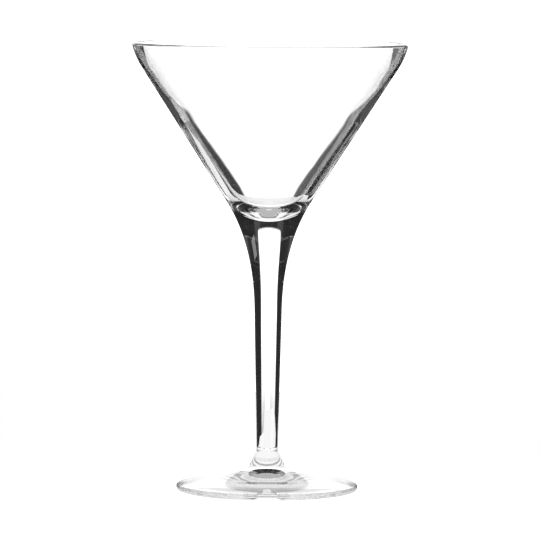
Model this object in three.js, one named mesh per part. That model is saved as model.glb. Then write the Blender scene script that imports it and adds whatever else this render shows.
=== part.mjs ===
// A martini glass in clear soda-lime glass: a conical bowl, a flared stem and a round foot.
// The three pieces are shaped apart and fused hot, so they meet face to face at two welds.
// Units are millimetres, +Z is up, and the origin is on the table at the glass's axis.
// Every piece is a body of revolution, so its outline is a list of (radius, height) points.

import * as THREE from 'three';

// Whole glass
const HEIGHT = 176;
const RIM_RADIUS = 54.3;
const FOOT_RADIUS = 35.8;
const SEGMENTS = 60;

// Bowl, outside: a straight cone that turns towards the vertical over its last few millimetres
const CONE_SLOPE = 0.642; // radius gained per millimetre of height
const LIP_HEIGHT = 10.5;
const RIM_SLOPE = 0.2;

// Bowl, inside: nearly even walls above, then a short swell into a thicker wall below
const RIM_WALL = 1.5;
const UPPER_SLOPE = 0.66;
const LOWER_SLOPE = 0.695;
const SWELL_TOP = 160;
const SWELL_END = 146;

// Bowl's floor: a bend into a flatter cone, whose rounded tip carries a small raised pip
const BOWL_FLOOR = 107.6;
const FLOOR_RISE = 0.56; // height gained per millimetre of radius
const BEND = 3.5; // how far the bend reaches, in radius, to each side of the corner
const TIP_RADIUS = 3;
const PIP_RADIUS = 5.5;
const PIP_HEIGHT = 0.6;

// Stem: a slow taper that opens into the bowl in one smooth flare
const STEM_RADIUS = 4.15; // where it starts, just over the seam
const STEM_TAPER = 0.0225;
const FLARE_START = 72;
const FLARE_END = 114;
const BOWL_WELD = 102;

// Foot: a thin disc swept up to a short conical stub, which the stem is welded to
const FOOT_SEAM = 15.2;
const SEAM_RADIUS = 4.3;
const BEAD_HEIGHT = 1.4; // the stem spreads over this height into the seam
const STUB_BASE = { radius: 7.1, height: 9.9 };
const FOOT_EDGE = 2.4;
const FOOT_SWEEP = { radius: 17, height: 4.6 }; // middle control point of the disc's upper curve
const REST_RING = 30; // inner radius of the flat ring that touches the table
const HOLLOW_RISE = 4.8;
const HOLLOW_BLUNT = 5; // how far from its centre the hollow's cone is blunted

const point = (radius, height) => new THREE.Vector2(radius, height);

// Evenly spaced numbers from one value to another, both ends included.
function steps(from, to, count) {
  return Array.from({ length: count + 1 }, (_, i) => from + ((to - from) * i) / count);
}

// The points of an arc, with its angles in degrees from the radial direction.
function arc(radius, height, size, fromAngle, toAngle, count) {
  return steps(fromAngle, toAngle, count).map((angle) => {
    const turn = THREE.MathUtils.degToRad(angle);
    return point(radius + size * Math.cos(turn), height + size * Math.sin(turn));
  });
}

// The radius of the outer cone and lip, whose slope falls evenly over the lip.
function lippedCone(height, rimRadius, slope) {
  const lipStart = HEIGHT - LIP_HEIGHT;
  const startRadius = rimRadius - ((slope + RIM_SLOPE) / 2) * LIP_HEIGHT;
  const rise = height - lipStart;
  const fall = rise > 0 ? ((slope - RIM_SLOPE) / (2 * LIP_HEIGHT)) * rise * rise : 0;
  return startRadius + slope * rise - fall;
}

const outerCone = (height) => lippedCone(height, RIM_RADIUS, CONE_SLOPE);
const innerCone = (height, slope) => lippedCone(height, RIM_RADIUS - RIM_WALL, slope);
const stemLine = (height) => STEM_RADIUS + STEM_TAPER * (height - FOOT_SEAM);

// The flare is a parabola that leaves the stem's line and joins the cone's line without a kink.
// Its middle control point is where the two lines cross.
const flareCross = FLARE_END - (outerCone(FLARE_END) - stemLine(FLARE_END)) / (CONE_SLOPE - STEM_TAPER);

function flareRadius(height) {
  const a = FLARE_START - 2 * flareCross + FLARE_END;
  const b = 2 * (flareCross - FLARE_START);
  const c = FLARE_START - height;
  const t = (2 * -c) / (b + Math.sqrt(b * b - 4 * a * c));
  const low = stemLine(FLARE_START) * (1 - t) * (1 - t);
  const middle = stemLine(flareCross) * 2 * t * (1 - t);
  return low + middle + outerCone(FLARE_END) * t * t;
}

// The outside of the glass from the seam at the foot to the rim, as one radius for each height.
function outerRadius(height) {
  if (height >= FLARE_END) {
    return outerCone(height);
  }
  if (height >= FLARE_START) {
    return flareRadius(height);
  }
  const nearSeam = Math.max(0, 1 - (height - FOOT_SEAM) / BEAD_HEIGHT);
  return stemLine(height) + (SEAM_RADIUS - STEM_RADIUS) * nearSeam * nearSeam;
}

// The inner wall, which goes smoothly from the thin cone to the thick one over the swell.
function innerRadius(height) {
  const thick = innerCone(height, LOWER_SLOPE);
  const thin = innerCone(height, UPPER_SLOPE);
  return thick + (thin - thick) * THREE.MathUtils.smoothstep(height, SWELL_END, SWELL_TOP);
}

// The floor's height for each radius inside the bend.
function floorHeight(radius) {
  const nearTip = Math.max(0, TIP_RADIUS - radius);
  const cone = BOWL_FLOOR + FLOOR_RISE * (radius - TIP_RADIUS / 2);
  const pip = Math.max(0, 1 - (radius / PIP_RADIUS) ** 2) ** 2;
  return cone + (FLOOR_RISE * nearTip * nearTip) / (2 * TIP_RADIUS) + PIP_HEIGHT * pip;
}

const outside = (from, to, count) => steps(from, to, count).map((h) => point(outerRadius(h), h));
const inside = (from, to, count) => steps(from, to, count).map((h) => point(innerRadius(h), h));

// A closed solid from an outline that starts and ends on the axis, as a named piece of glass.
function glassPiece(name, outline) {
  const solid = new THREE.LatheGeometry(outline, SEGMENTS);
  solid.rotateX(Math.PI / 2);
  const glass = new THREE.MeshStandardMaterial({
    color: 0xf3f6f5,
    roughness: 0.02,
    metalness: 0,
    transparent: true,
    opacity: 0.35,
  });
  const piece = new THREE.Mesh(solid, glass);
  piece.name = name;
  return piece;
}

// The bowl: weld face, flare, cone, lip, fire-polished rim, then down the inside to its floor.
function bowl() {
  const rimRound = RIM_WALL / 2;
  const rimHeight = HEIGHT - rimRound;
  const lipStart = HEIGHT - LIP_HEIGHT;
  const coneTip = innerCone(0, LOWER_SLOPE) / -LOWER_SLOPE; // where the thick cone would come to a point
  const floorTip = BOWL_FLOOR - (FLOOR_RISE * TIP_RADIUS) / 2;
  const corner = (floorTip - coneTip) / (1 / LOWER_SLOPE - FLOOR_RISE);
  const bendStart = coneTip + (corner + BEND) / LOWER_SLOPE;
  const bend = new THREE.QuadraticBezierCurve(
    point(corner + BEND, bendStart),
    point(corner, coneTip + corner / LOWER_SLOPE),
    point(corner - BEND, floorHeight(corner - BEND)),
  );
  return glassPiece('bowl', [
    point(0, BOWL_WELD),
    ...outside(BOWL_WELD, FLARE_END, 7),
    ...outside(FLARE_END, lipStart, 3).slice(1),
    ...outside(lipStart, rimHeight, 4).slice(1, -1),
    ...arc(outerCone(rimHeight) - rimRound, rimHeight, rimRound, 0, 180, 6),
    ...inside(rimHeight, lipStart, 4).slice(1),
    ...inside(SWELL_TOP, SWELL_END, 6),
    ...bend.getPoints(6),
    ...steps(PIP_RADIUS, 0, 6).map((radius) => point(radius, floorHeight(radius))),
  ]);
}

// The stem: a solid rod from the seam at the foot to the weld under the bowl.
function stem() {
  return glassPiece('stem', [
    point(0, FOOT_SEAM),
    ...outside(FOOT_SEAM, FOOT_SEAM + BEAD_HEIGHT, 3),
    ...outside(FOOT_SEAM + BEAD_HEIGHT, FLARE_START, 3).slice(1),
    ...outside(FLARE_START, BOWL_WELD, 8).slice(1),
    point(0, BOWL_WELD),
  ]);
}

// The foot: a blunt conical hollow inside the flat rest ring, a round edge, the sweep and the stub.
function foot() {
  const edgeRound = FOOT_EDGE / 2;
  const edgeCentre = FOOT_RADIUS - edgeRound;
  const bluntCone = (radius) => Math.hypot(radius, HOLLOW_BLUNT) - HOLLOW_BLUNT;
  const hollow = (radius) => HOLLOW_RISE * (1 - bluntCone(radius) / bluntCone(REST_RING));
  const sweep = new THREE.QuadraticBezierCurve(
    point(edgeCentre, FOOT_EDGE),
    point(FOOT_SWEEP.radius, FOOT_SWEEP.height),
    point(STUB_BASE.radius, STUB_BASE.height),
  );
  return glassPiece('foot', [
    ...steps(0, REST_RING, 8).map((radius) => point(radius, hollow(radius))),
    ...arc(edgeCentre, edgeRound, edgeRound, -90, 90, 6),
    ...sweep.getPoints(9).slice(1),
    point(SEAM_RADIUS, FOOT_SEAM),
    point(0, FOOT_SEAM),
  ]);
}

const martiniGlass = new THREE.Group();
martiniGlass.name = 'martini_glass';
martiniGlass.add(bowl(), stem(), foot());

export default martiniGlass;
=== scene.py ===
"""The looks of a clear martini glass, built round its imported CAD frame. Lengths are in metres, +Z is up."""

import math

import bpy
import numpy as np
from mathutils import Matrix, Vector


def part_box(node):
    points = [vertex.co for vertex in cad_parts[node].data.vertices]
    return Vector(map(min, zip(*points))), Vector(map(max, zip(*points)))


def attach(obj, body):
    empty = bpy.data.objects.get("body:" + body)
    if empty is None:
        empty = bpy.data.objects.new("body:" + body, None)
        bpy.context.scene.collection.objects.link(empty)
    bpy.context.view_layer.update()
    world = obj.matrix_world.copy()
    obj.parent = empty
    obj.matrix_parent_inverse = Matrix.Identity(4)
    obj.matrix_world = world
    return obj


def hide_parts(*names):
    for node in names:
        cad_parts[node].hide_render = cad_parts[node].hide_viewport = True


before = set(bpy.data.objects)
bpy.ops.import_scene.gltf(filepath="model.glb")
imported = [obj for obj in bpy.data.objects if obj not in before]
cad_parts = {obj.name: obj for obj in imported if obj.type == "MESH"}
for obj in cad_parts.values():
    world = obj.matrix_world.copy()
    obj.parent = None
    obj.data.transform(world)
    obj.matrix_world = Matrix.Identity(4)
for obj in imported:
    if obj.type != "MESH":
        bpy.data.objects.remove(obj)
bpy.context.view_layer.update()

MM = 0.001

# Sizes that the frame gives
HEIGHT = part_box("bowl")[1].z
BOWL_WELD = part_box("bowl")[0].z
FOOT_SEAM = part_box("foot")[1].z
FOOT_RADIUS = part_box("foot")[1].x

# The rest of the outlines, as in the CAD model
RIM_RADIUS = 54.3 * MM
CONE_SLOPE = 0.642
LIP_HEIGHT = 10.5 * MM
RIM_SLOPE = 0.2
RIM_WALL = 1.5 * MM
UPPER_SLOPE = 0.66
LOWER_SLOPE = 0.695
SWELL = (146 * MM, 160 * MM)
BOWL_FLOOR = 107.6 * MM
FLOOR_RISE = 0.56
BEND = 3.5 * MM
TIP_RADIUS = 3 * MM
PIP_RADIUS = 5.5 * MM
PIP_HEIGHT = 0.6 * MM
STEM_RADIUS = 4.15 * MM
STEM_TAPER = 0.0225
FLARE_START = 72 * MM
FLARE_END = 114 * MM
SEAM_RADIUS = 4.3 * MM
BEAD_HEIGHT = 1.4 * MM
STUB_BASE = (7.1 * MM, 9.9 * MM)
FOOT_EDGE = 2.4 * MM
FOOT_SWEEP = (17 * MM, 4.6 * MM)
REST_RING = 30 * MM
HOLLOW_RISE = 4.8 * MM
HOLLOW_BLUNT = 5 * MM

# How finely the outlines are drawn
ROUND_STEPS = 256  # round the axis
STEP = 0.8 * MM  # along plain stretches
FLOOR_STEP = 0.4 * MM
STUB_STEP = 0.2 * MM
BEND_STEPS = 30
TIP_POINTS = 30
EDGE_STEPS = 24
HOLLOW_POINTS = 60
SWEEP_STEPS = 60

ON_AXIS = 1e-9  # a smaller radius lies on the axis
GLASS, WELD = 0, 1  # material slots

IOR = 1.5
WAVE_SIZE = 9 * MM
WAVE_DEPTH = 0.02 * MM
WAVE_DETAIL = 1
MARK_SIZE = 4 * MM
MARK_DETAIL = 4
MARK_PATCHES = (0.5, 0.75)  # the noise at which a patch of marks starts, and is full
MARK_ROUGHNESS = 0.03


# ---------------------------------------------------------------- outlines
def lipped_cone(height, rim_radius, slope):
    """The radius of a cone whose slope falls evenly to RIM_SLOPE over the lip."""
    start_radius = rim_radius - (slope + RIM_SLOPE) / 2 * LIP_HEIGHT
    rise = height - (HEIGHT - LIP_HEIGHT)
    fall = (slope - RIM_SLOPE) / (2 * LIP_HEIGHT) * np.maximum(rise, 0) ** 2
    return start_radius + slope * rise - fall


def outer_cone(height):
    return lipped_cone(height, RIM_RADIUS, CONE_SLOPE)


def inner_cone(height):
    """The inner wall, which goes smoothly from the thin cone to the thick one over the swell."""
    share = np.clip((height - SWELL[0]) / (SWELL[1] - SWELL[0]), 0, 1)
    blend = share * share * (3 - 2 * share)
    thin = lipped_cone(height, RIM_RADIUS - RIM_WALL, UPPER_SLOPE)
    thick = lipped_cone(height, RIM_RADIUS - RIM_WALL, LOWER_SLOPE)
    return thick + (thin - thick) * blend


def bowl_floor():
    """The bowl's floor, inwards from the straight inner cone: a bend, a flatter cone and a round tip."""
    tip = -lipped_cone(0.0, RIM_RADIUS - RIM_WALL, LOWER_SLOPE) / LOWER_SLOPE
    low_tip = BOWL_FLOOR - FLOOR_RISE * TIP_RADIUS / 2
    cross = (low_tip - tip) / (1 / LOWER_SLOPE - FLOOR_RISE)
    corner = (cross, low_tip + FLOOR_RISE * cross)
    start = (cross + BEND, corner[1] + BEND / LOWER_SLOPE)
    end = (cross - BEND, corner[1] - BEND * FLOOR_RISE)
    edge = (TIP_RADIUS, low_tip + FLOOR_RISE * TIP_RADIUS)
    bend = bezier(start, corner, end, BEND_STEPS)
    flat = line(end, edge, FLOOR_STEP)
    radii = np.linspace(TIP_RADIUS, 0, TIP_POINTS)
    tip_round = np.stack([radii, BOWL_FLOOR + FLOOR_RISE * radii**2 / (2 * TIP_RADIUS)], 1)
    floor = joined(bend, flat, tip_round)
    floor[:, 1] += PIP_HEIGHT * np.maximum(0, 1 - (floor[:, 0] / PIP_RADIUS) ** 2) ** 2
    return floor


def stem_line(height):
    return STEM_RADIUS + STEM_TAPER * (height - FOOT_SEAM)


def flare_radius(height):
    """A parabola that leaves the stem's line and joins the cone's line without a kink."""
    gap = outer_cone(FLARE_END) - stem_line(FLARE_END)
    cross = FLARE_END - gap / (CONE_SLOPE - STEM_TAPER)
    a = FLARE_START - 2 * cross + FLARE_END
    b = 2 * (cross - FLARE_START)
    c = FLARE_START - height
    t = 2 * -c / (b + np.sqrt(np.maximum(b * b - 4 * a * c, 0)))
    low = stem_line(FLARE_START) * (1 - t) ** 2
    middle = stem_line(cross) * 2 * t * (1 - t)
    return low + middle + outer_cone(FLARE_END) * t * t


def outer_radius(height):
    """The outside of the glass from the seam to the rim, as one radius for each height."""
    near_seam = np.maximum(0, 1 - (height - FOOT_SEAM) / BEAD_HEIGHT)
    rod = stem_line(height) + (SEAM_RADIUS - STEM_RADIUS) * near_seam**2
    flare = flare_radius(np.clip(height, FLARE_START, FLARE_END))
    upper = np.where(height < FLARE_END, flare, outer_cone(height))
    return np.where(height < FLARE_START, rod, upper)


def steps_for(length, step=STEP):
    return max(2, math.ceil(length / step))


def outside(low, high):
    """A stroke up the outer wall, with a ghost point past each end so that normals match across a weld."""
    count = steps_for(high - low)
    heights = low + (high - low) * np.arange(-1, count + 2) / count
    return np.stack([outer_radius(heights), heights], 1)


def arc(centre, size, from_angle, to_angle, count):
    """Points of an arc, with its angles in degrees from the radial direction."""
    turn = np.radians(np.linspace(from_angle, to_angle, count + 1))
    return np.stack([centre[0] + size * np.cos(turn), centre[1] + size * np.sin(turn)], 1)


def line(start, end, step=STEP):
    start, end = np.array(start, float), np.array(end, float)
    share = np.linspace(0, 1, steps_for(np.linalg.norm(end - start), step) + 1)[:, None]
    return start + (end - start) * share


def bezier(start, control, end, count):
    t = np.linspace(0, 1, count + 1)[:, None]
    start, control, end = (np.array(p, float) for p in (start, control, end))
    return start * (1 - t) ** 2 + control * 2 * t * (1 - t) + end * t * t


def joined(*runs):
    """One smooth stroke from runs that meet end to end."""
    points = [runs[0]]
    points += [run[1:] for run in runs[1:]]
    return np.concatenate(points)


# ---------------------------------------------------------------- lathe
def stroke_normals(points):
    """The outward normal at each point of a stroke that goes round the section anticlockwise."""
    along = np.gradient(points, axis=0)
    along /= np.linalg.norm(along, axis=1)[:, None]
    return np.stack([along[:, 1], -along[:, 0]], 1)


class Rings:
    """Vertices in rings round the axis, where a ring on the axis itself is one vertex."""

    def __init__(self):
        turns = np.arange(ROUND_STEPS) * 2 * math.pi / ROUND_STEPS
        self.cos, self.sin = np.cos(turns), np.sin(turns)
        self.vertices = []

    def add(self, radius, height):
        start = len(self.vertices)
        if radius < ON_AXIS:
            self.vertices.append((0.0, 0.0, height))
            return [start] * ROUND_STEPS
        self.vertices.extend((radius * c, radius * s, height) for c, s in zip(self.cos, self.sin))
        return list(range(start, start + ROUND_STEPS))


def lathe(name, strokes):
    """A closed solid of revolution. Each stroke is (points, material slot, ghost ends or not)."""
    rings = Rings()
    faces, face_slots, loop_normals = [], [], []
    ring = rings.add(*strokes[0][0][0])
    for points, slot, ghosts in strokes:
        normals = stroke_normals(points)
        if ghosts:
            points, normals = points[1:-1], normals[1:-1]
        for i in range(len(points) - 1):
            upper = rings.add(*points[i + 1])
            for j in range(ROUND_STEPS):
                k = (j + 1) % ROUND_STEPS
                corners = [
                    (ring[j], normals[i], j),
                    (ring[k], normals[i], k),
                    (upper[k], normals[i + 1], k),
                    (upper[j], normals[i + 1], j),
                ]
                if ring[j] == ring[k]:
                    corners.pop(1)
                elif upper[j] == upper[k]:
                    corners.pop(2)
                faces.append([vertex for vertex, _, _ in corners])
                face_slots.append(slot)
                for _, (out, up), turn in corners:
                    loop_normals.append((out * rings.cos[turn], out * rings.sin[turn], up))
            ring = upper

    mesh = bpy.data.meshes.new(name)
    mesh.from_pydata(rings.vertices, [], faces)
    mesh.polygons.foreach_set("use_smooth", [True] * len(faces))
    mesh.polygons.foreach_set("material_index", face_slots)
    mesh.normals_split_custom_set(loop_normals)
    mesh.update()
    piece = bpy.data.objects.new(name, mesh)
    bpy.context.scene.collection.objects.link(piece)
    return piece


def bowl_strokes():
    rim_round = RIM_WALL / 2
    rim_height = HEIGHT - rim_round
    floor = bowl_floor()
    floor_top = floor[0, 1]
    outer = outside(BOWL_WELD, rim_height)
    rim = arc((outer_cone(rim_height) - rim_round, rim_height), rim_round, 0, 180, EDGE_STEPS)
    heights = np.linspace(rim_height, floor_top, steps_for(rim_height - floor_top) + 1)
    wall = np.stack([inner_cone(heights), heights], 1)
    weld_radius = float(outer_radius(BOWL_WELD))
    return [
        (line((0, BOWL_WELD), (weld_radius, BOWL_WELD)), WELD, False),
        (outer, GLASS, True),
        (rim, GLASS, False),
        (joined(wall, floor), GLASS, False),
    ]


def stem_strokes():
    low, high = float(outer_radius(FOOT_SEAM)), float(outer_radius(BOWL_WELD))
    return [
        (line((0, FOOT_SEAM), (low, FOOT_SEAM)), WELD, False),
        (outside(FOOT_SEAM, BOWL_WELD), GLASS, True),
        (line((high, BOWL_WELD), (0, BOWL_WELD)), WELD, False),
    ]


def foot_strokes():
    edge_round = FOOT_EDGE / 2
    edge_centre = FOOT_RADIUS - edge_round
    radii = np.linspace(0, REST_RING, HOLLOW_POINTS)
    cone = np.sqrt(radii**2 + HOLLOW_BLUNT**2) - HOLLOW_BLUNT
    hollow = np.stack([radii, HOLLOW_RISE * (1 - cone / cone[-1])], 1)
    ring = line((REST_RING, 0), (edge_centre, 0))
    edge = arc((edge_centre, edge_round), edge_round, -90, 90, EDGE_STEPS)
    sweep = bezier((edge_centre, FOOT_EDGE), FOOT_SWEEP, STUB_BASE, SWEEP_STEPS)
    stub = line(STUB_BASE, (SEAM_RADIUS, FOOT_SEAM), STUB_STEP)
    return [
        (hollow, GLASS, False),
        (joined(ring, edge, sweep), GLASS, False),
        (stub, GLASS, False),
        (line((SEAM_RADIUS, FOOT_SEAM), (0, FOOT_SEAM)), WELD, False),
    ]


# ---------------------------------------------------------------- shader nodes
def node(tree, kind, **values):
    made = tree.nodes.new(kind)
    for name, value in values.items():
        setattr(made, name, value)
    return made


def calc(tree, operation, *values):
    """A Math node. Each value is a number or a socket."""
    made = node(tree, "ShaderNodeMath", operation=operation)
    for socket, value in zip(made.inputs, values):
        if isinstance(value, (int, float)):
            socket.default_value = value
        else:
            tree.links.new(value, socket)
    return made.outputs[0]


def remap(tree, value, start, end, low=0, high=1, kind="SMOOTHSTEP"):
    """Low where the value is at the start, high where it is at the end."""
    made = node(tree, "ShaderNodeMapRange", interpolation_type=kind)
    made.inputs["From Min"].default_value = start
    made.inputs["From Max"].default_value = end
    made.inputs["To Min"].default_value = low
    made.inputs["To Max"].default_value = high
    tree.links.new(value, made.inputs["Value"])
    return made.outputs["Result"]


def coordinates(tree, kind):
    """The x, y and z of one kind of texture coordinate."""
    place = node(tree, "ShaderNodeTexCoord")
    split = node(tree, "ShaderNodeSeparateXYZ")
    tree.links.new(place.outputs[kind], split.inputs[0])
    return split.outputs


# ---------------------------------------------------------------- materials
def noise_at(tree, place, size, detail):
    """Noise in the glass's own coordinates, with features of the given size."""
    noise = node(tree, "ShaderNodeTexNoise")
    noise.inputs["Scale"].default_value = 1 / size
    noise.inputs["Detail"].default_value = detail
    tree.links.new(place.outputs["Object"], noise.inputs["Vector"])
    return noise.outputs["Fac"]


def glass_material():
    """Clear fire-polished glass, with faint waves and patches of fine handling marks."""
    material = bpy.data.materials.new("clear_glass")
    material.use_nodes = True
    tree = material.node_tree
    shader = tree.nodes["Principled BSDF"]
    shader.inputs["Base Color"].default_value = (1, 1, 1, 1)
    shader.inputs["Transmission Weight"].default_value = 1
    shader.inputs["IOR"].default_value = IOR
    place = node(tree, "ShaderNodeTexCoord")

    waves = node(tree, "ShaderNodeBump")
    waves.inputs["Strength"].default_value = 1
    waves.inputs["Distance"].default_value = WAVE_DEPTH
    tree.links.new(noise_at(tree, place, WAVE_SIZE, WAVE_DETAIL), waves.inputs["Height"])
    tree.links.new(waves.outputs["Normal"], shader.inputs["Normal"])

    patches = noise_at(tree, place, MARK_SIZE, MARK_DETAIL)
    marks = remap(tree, patches, *MARK_PATCHES, high=MARK_ROUGHNESS)
    tree.links.new(marks, shader.inputs["Roughness"])
    return material


def weld_material():
    """The inner faces of a weld aren't there in the real glass, so light passes them unchanged."""
    material = bpy.data.materials.new("weld")
    material.use_nodes = True
    tree = material.node_tree
    tree.nodes.clear()
    clear = node(tree, "ShaderNodeBsdfTransparent")
    output = node(tree, "ShaderNodeOutputMaterial")
    tree.links.new(clear.outputs[0], output.inputs["Surface"])
    return material


glass, weld = glass_material(), weld_material()
for name, strokes in (("bowl", bowl_strokes()), ("stem", stem_strokes()), ("foot", foot_strokes())):
    piece = lathe(f"{name}_glass", strokes)
    piece.data.materials.append(glass)
    piece.data.materials.append(weld)
    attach(piece, "root")
    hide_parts(name)


# ---------------------------------------------------------------- set
# The set's lights tell light by its path. Its Glossy Depth is how many times it has been mirrored,
# and its Transmission Depth is how many times it has gone into or out of glass.
MIRRORED = 0.5  # the Glossy Depth past which light has been mirrored
MIRRORED_TWICE = 1.5
CROSSED_TWICE = 3.5  # the Transmission Depth past which light has crossed glass twice

SET_STEPS = 128  # round the floor and the band

FLOOR_RADIUS = 0.075
FLOOR_DEPTH = 0.05 * MM  # how far it lies under the foot
FLOOR_FADE = (-0.03, 0)  # from y to y, where the floor's painted shade fades in
FLOOR_FRONT = 0.3  # brightness at the camera's end, as painted shade
FLOOR_UNMIRRORED = 0.6  # the least that light sees which hasn't been mirrored

TABLE_DEPTH = 0.1 * MM
TABLE_CORNERS = [  # x, y
    (-0.08, 0.11),
    (0.12, 0.11),
    (0.12, 0.2),
    (0.06, 0.24),
    (0.06, 0.36),
    (-0.13, 0.36),
    (-0.17, 0.3),
    (-0.16, 0.2),
]

BAND_RADIUS = 0.042
BAND_HEIGHT = 0.009
BAND_FADE = (0.3 * BAND_RADIUS, 0.8 * BAND_RADIUS)  # from y to y
BAND_FRONT = 0.02  # brightness at the camera's end

VEIL_RADIUS = 0.045
VEIL_BRIGHTNESS = 0.5
VEIL_STEPS = (48, 24)  # round and up

WHITE = 1.6
BLACK = 0.02

FLAG_BACK = 0.15
FLAG_RISES = (0.127, 0.168)
FLAGS = [  # name, from x to x, brightness
    ("left_flag", (-0.1, -0.07), BLACK),
    ("right_flag", (0.064, 0.1), 0.25),
]


def plain_light(name, brightness=1):
    material = bpy.data.materials.new(name)
    material.use_nodes = True
    tree = material.node_tree
    tree.nodes.clear()
    glow = node(tree, "ShaderNodeEmission")
    glow.inputs["Color"].default_value = (brightness, brightness, brightness, 1)
    output = node(tree, "ShaderNodeOutputMaterial")
    tree.links.new(glow.outputs[0], output.inputs["Surface"])
    return material


def link_strength(tree, strength):
    tree.links.new(strength, tree.nodes["Emission"].inputs["Strength"])


def make_floor():
    """A white disc that glows like a lamp. Seen through the glass its glow is painted dimmer towards the
    camera as painted shade, most so when mirrored.
    """
    bpy.ops.mesh.primitive_circle_add(vertices=SET_STEPS, radius=FLOOR_RADIUS, fill_type="NGON")
    floor = bpy.context.object
    floor.name = "floor"
    floor.location.z = -FLOOR_DEPTH
    material = plain_light("floor")
    tree = material.node_tree
    _, y, _ = coordinates(tree, "Object")
    # Painted shade: the floor's glow fades to FLOOR_FRONT towards the camera's end.
    floor_painted_shade = remap(tree, y, *FLOOR_FADE, low=FLOOR_FRONT, kind="LINEAR")
    path = node(tree, "ShaderNodeLightPath")
    unmirrored = calc(tree, "LESS_THAN", path.outputs["Glossy Depth"], MIRRORED)
    least = calc(tree, "MULTIPLY_ADD", unmirrored, FLOOR_UNMIRRORED, path.outputs["Is Camera Ray"])
    link_strength(tree, calc(tree, "MAXIMUM", floor_painted_shade, least))
    floor.data.materials.append(material)


def make_table():
    """A lit table top behind the glass."""
    mesh = bpy.data.meshes.new("light_table")
    mesh.from_pydata([(x, y, -TABLE_DEPTH) for x, y in TABLE_CORNERS], [], [range(len(TABLE_CORNERS))])
    table = bpy.data.objects.new("light_table", mesh)
    bpy.context.scene.collection.objects.link(table)
    mesh.materials.append(plain_light("light_table"))


def make_ring():
    """A low band round the foot, white behind it and almost black towards the camera."""
    bpy.ops.mesh.primitive_cylinder_add(
        vertices=SET_STEPS, radius=BAND_RADIUS, depth=BAND_HEIGHT, end_fill_type="NOTHING"
    )
    ring = bpy.context.object
    ring.name = "foot_band"
    ring.location.z = BAND_HEIGHT / 2
    material = plain_light("foot_band")
    tree = material.node_tree
    _, y, _ = coordinates(tree, "Object")
    link_strength(tree, remap(tree, y, *BAND_FADE, low=BAND_FRONT))
    ring.data.materials.append(material)
    ring.visible_camera = False


def make_veil():
    """A dome round the foot that only light which has been mirrored more than once can see."""
    around, up = VEIL_STEPS
    bpy.ops.mesh.primitive_uv_sphere_add(segments=around, ring_count=up, radius=VEIL_RADIUS)
    veil = bpy.context.object
    veil.name = "foot_veil"
    material = plain_light("foot_veil", VEIL_BRIGHTNESS)
    tree = material.node_tree
    path = node(tree, "ShaderNodeLightPath")
    clear = node(tree, "ShaderNodeBsdfTransparent")
    choice = node(tree, "ShaderNodeMixShader")
    twice = calc(tree, "GREATER_THAN", path.outputs["Glossy Depth"], MIRRORED_TWICE)
    tree.links.new(twice, choice.inputs[0])
    tree.links.new(clear.outputs[0], choice.inputs[1])
    tree.links.new(tree.nodes["Emission"].outputs[0], choice.inputs[2])
    tree.links.new(choice.outputs[0], tree.nodes["Material Output"].inputs["Surface"])
    veil.data.materials.append(material)
    veil.visible_camera = False


def make_card(name, sides, brightness):
    """An upright card behind the glass, which is black to light that has been mirrored."""
    low, high = FLAG_RISES
    left, right = sides
    bpy.ops.mesh.primitive_plane_add(size=1, rotation=(math.pi / 2, 0, 0))
    card = bpy.context.object
    card.name = name
    card.scale = (right - left, high - low, 1)
    card.location = ((left + right) / 2, FLAG_BACK, (low + high) / 2)
    material = plain_light(name, brightness)
    tree = material.node_tree
    path = node(tree, "ShaderNodeLightPath")
    link_strength(tree, calc(tree, "LESS_THAN", path.outputs["Glossy Depth"], MIRRORED))
    card.data.materials.append(material)
    card.visible_camera = False


# ---------------------------------------------------------------- studio
# The studio is painted on the world by direction. Angles are degrees to the right of straight back,
# and degrees up. A patch is (from, to) round, (from, to) up, and its brightness.
EDGE_SOFTNESS = 1.5

WINDOW_SIDES = (-27, 20.5)  # the lit backdrop's edges at the horizon
WINDOW_LEAN = (0.375, -0.19)  # how far each edge moves to the right for each degree up
WINDOW_RISE = (-5, 24)
WINDOW_SOFTNESS = 1.2
SWEEP = ((-7.5, 7.5), (-95, -2), WHITE)  # the backdrop's run down and under the glass
SWEEP_SOFTNESS = 0.7

# For light that has crossed glass once, such as the stem, the foot or a single wall
SOLID_DARK = ((-190, 190), (-9, 95), BLACK)
STRIPES_AT = (-180, -90, 0, 90, 180)
STRIPE_REACH = 15
STRIPE = ((-62, -9), 0.1)
WINDOWS_AT = (-180, -90, 90, 180)
WINDOW_REACH = 10
SIDE_WINDOW = ((-12, 3), WHITE)

# For light that has crossed glass twice or more, such as both walls of the bowl
THIN_LEFT = ((-36, -7.5), (-24, -2), 0.06)
THIN_RIGHT = ((7.5, 32), (-24, -7), 0.15)

# For light that has been mirrored. The dark patch and the side ones count degrees to either side.
MIRRORED_DIM = 0.1
MIRRORED_DARK = ((-5, 115), (-62, 95), BLACK)
MIRRORED_SIDES = ((112, 140), (-55, 4), 1)
SIDES_SOFTNESS = 2
MIRRORED_LEFT = ((-36, -7.5), (-36, -12), 0.015)
MIRRORED_RIGHT = ((7.5, 32), (-34, -7), 0.03)


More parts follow.
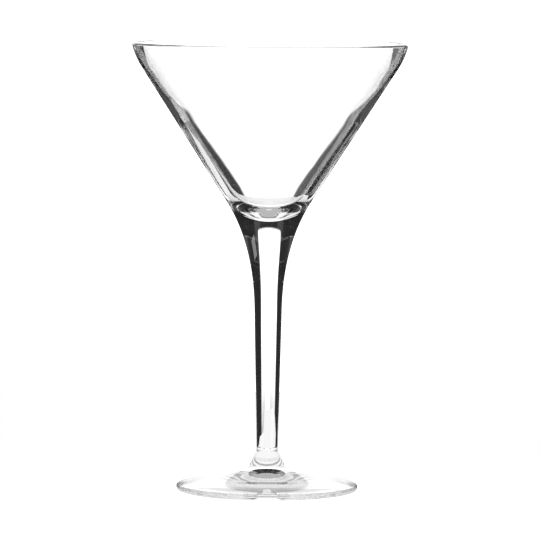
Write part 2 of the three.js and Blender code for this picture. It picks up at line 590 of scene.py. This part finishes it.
class Studio:
    """Paints patches over a light by the direction it comes from."""

    def __init__(self, tree):
        self.tree = tree
        x, y, z = coordinates(tree, "Generated")
        self.turn = self.calc("DEGREES", self.calc("ARCTAN2", x, y))
        self.rise = self.calc("DEGREES", self.calc("ARCSINE", z))
        self.either_side = self.calc("ABSOLUTE", self.turn)

    def calc(self, operation, *values):
        return calc(self.tree, operation, *values)

    def blend(self, first, second, share):
        return self.calc("ADD", first, self.calc("MULTIPLY", share, self.calc("SUBTRACT", second, first)))

    def between(self, low, high, span, soft):
        """One where low is past the span's start and high isn't past its end, and nought elsewhere."""
        past_start = remap(self.tree, low, span[0] - soft, span[0] + soft)
        past_end = remap(self.tree, high, span[1] - soft, span[1] + soft)
        return self.calc("MULTIPLY", past_start, self.calc("SUBTRACT", 1, past_end))

    def patch(self, light, sides, rises, brightness, soft=EDGE_SOFTNESS, turn=None):
        """Paint a patch over the light."""
        if turn is None:
            turn = self.turn
        across = self.between(turn, turn, sides, soft)
        up = self.between(self.rise, self.rise, rises, soft)
        return self.blend(light, brightness, self.calc("MULTIPLY", across, up))

    def leaning(self, lean):
        """The direction round, less the lean of an edge at this height."""
        return self.calc("SUBTRACT", self.turn, self.calc("MULTIPLY", self.rise, lean))

    def backdrop(self, light):
        """Paint the lit backdrop and its run under the glass over the light."""
        left, right = map(self.leaning, WINDOW_LEAN)
        across = self.between(left, right, WINDOW_SIDES, WINDOW_SOFTNESS)
        up = self.between(self.rise, self.rise, WINDOW_RISE, WINDOW_SOFTNESS)
        light = self.blend(light, WHITE, self.calc("MULTIPLY", across, up))
        return self.patch(light, *SWEEP, SWEEP_SOFTNESS)

    def solid_light(self):
        light = self.patch(WHITE, *SOLID_DARK)
        for turn in STRIPES_AT:
            light = self.patch(light, (turn - STRIPE_REACH, turn + STRIPE_REACH), *STRIPE)
        for turn in WINDOWS_AT:
            light = self.patch(light, (turn - WINDOW_REACH, turn + WINDOW_REACH), *SIDE_WINDOW)
        return self.backdrop(light)

    def thin_light(self):
        light = self.patch(WHITE, *THIN_LEFT)
        light = self.patch(light, *THIN_RIGHT)
        return self.backdrop(light)

    def mirrored_light(self):
        light = self.patch(MIRRORED_DIM, *MIRRORED_DARK, turn=self.either_side)
        light = self.patch(light, *MIRRORED_SIDES, SIDES_SOFTNESS, self.either_side)
        light = self.patch(light, *MIRRORED_LEFT)
        light = self.patch(light, *MIRRORED_RIGHT)
        return self.backdrop(light)


def make_world():
    world = bpy.data.worlds.new("studio")
    bpy.context.scene.world = world
    world.use_nodes = True
    tree = world.node_tree
    tree.nodes.clear()

    studio = Studio(tree)
    path = node(tree, "ShaderNodeLightPath")
    crossed_twice = studio.calc("GREATER_THAN", path.outputs["Transmission Depth"], CROSSED_TWICE)
    mirrored = studio.calc("MINIMUM", path.outputs["Glossy Depth"], 1)
    light = studio.blend(studio.solid_light(), studio.thin_light(), crossed_twice)
    light = studio.blend(light, studio.mirrored_light(), mirrored)
    light = studio.calc("MAXIMUM", light, path.outputs["Is Camera Ray"])

    glow = node(tree, "ShaderNodeBackground")
    output = node(tree, "ShaderNodeOutputWorld")
    tree.links.new(light, glow.inputs["Color"])
    tree.links.new(glow.outputs[0], output.inputs["Surface"])


# ---------------------------------------------------------------- camera
CAMERA_DISTANCE = 1.76
CAMERA_HEIGHT = 0.228
AIM = Vector((0.0006, 0, 0.0868))
ROLL = math.radians(0.44)
LENS = 299.5
SENSOR = 36
SIGHT = 100
BOUNCES = 96  # a path in the glass that runs out of bounces ends black


def make_camera():
    camera = bpy.data.cameras.new("camera")
    camera.lens = LENS
    camera.sensor_width = SENSOR
    camera.clip_end = SIGHT
    holder = bpy.data.objects.new("camera", camera)
    bpy.context.scene.collection.objects.link(holder)
    holder.location = (AIM.x, -CAMERA_DISTANCE, CAMERA_HEIGHT)
    look = (AIM - holder.location).to_track_quat("-Z", "Y").to_matrix()
    roll = Matrix.Rotation(ROLL, 3, "Z")
    holder.rotation_euler = (look @ roll).to_euler()
    bpy.context.scene.camera = holder


def set_light_paths():
    scene = bpy.context.scene
    scene.view_settings.view_transform = "Standard"
    for limit in ("max_bounces", "transmission_bounces", "glossy_bounces", "transparent_max_bounces"):
        setattr(scene.cycles, limit, BOUNCES)


make_floor()
make_table()
make_ring()
make_veil()
for flag in FLAGS:
    make_card(*flag)
make_world()
make_camera()
set_light_paths()
